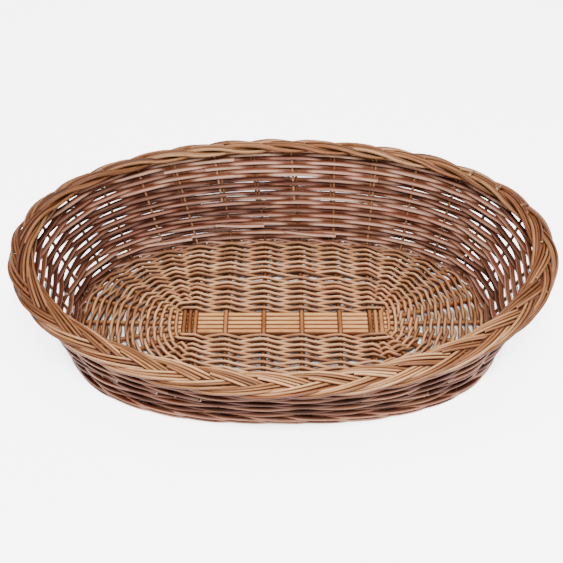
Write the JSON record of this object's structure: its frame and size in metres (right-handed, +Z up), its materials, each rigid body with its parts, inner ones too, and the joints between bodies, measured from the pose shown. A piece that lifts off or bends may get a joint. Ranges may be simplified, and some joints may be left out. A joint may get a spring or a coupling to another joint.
{
  "type": "wicker pet bed basket",
  "caption": "Oval open willow basket for a pet to lie in, with flared see-through woven sides, a low front, a high back and a plaited border.",
  "frame": {"origin": "under the middle of the basket, on the surface it stands on", "axes": "+X along the basket's length, +Y towards the high back (the low entry is at -Y), +Z up"},
  "size_m": [0.7964, 0.489, 0.1858],
  "materials": {
    "long_stick_willow": "satin",
    "cross_stick_willow": "satin",
    "base_willow": "satin",
    "side_willow": "satin",
    "stake_willow": "satin",
    "border_willow": "satin"
  },
  "bodies": {
    "root": {"long_stick_1": "long_stick_willow", "long_stick_2": "long_stick_willow", "long_stick_3": "long_stick_willow", "long_stick_4": "long_stick_willow", "long_stick_5": "long_stick_willow", "cross_stick_1": "cross_stick_willow", "cross_stick_2": "cross_stick_willow", "cross_stick_3": "cross_stick_willow", "cross_stick_4": "cross_stick_willow", "cross_stick_5": "cross_stick_willow", "cross_stick_6": "cross_stick_willow", "cross_stick_7": "cross_stick_willow", "cross_stick_8": "cross_stick_willow", "cross_stick_9": "cross_stick_willow", "cross_stick_10": "cross_stick_willow", "inner_base_weave": "base_willow", "outer_base_weave": "base_willow", "upsett": "side_willow", "side_stakes": "stake_willow", "bye_stakes": "stake_willow", "lower_side_weave": "side_willow", "packing": "side_willow", "upper_side_weave": "side_willow", "border_bundle_1": "border_willow", "border_bundle_2": "border_willow", "border_bundle_3": "border_willow", "border_bundle_4": "border_willow", "border_bundle_5": "border_willow"}
  },
  "joints": []
}
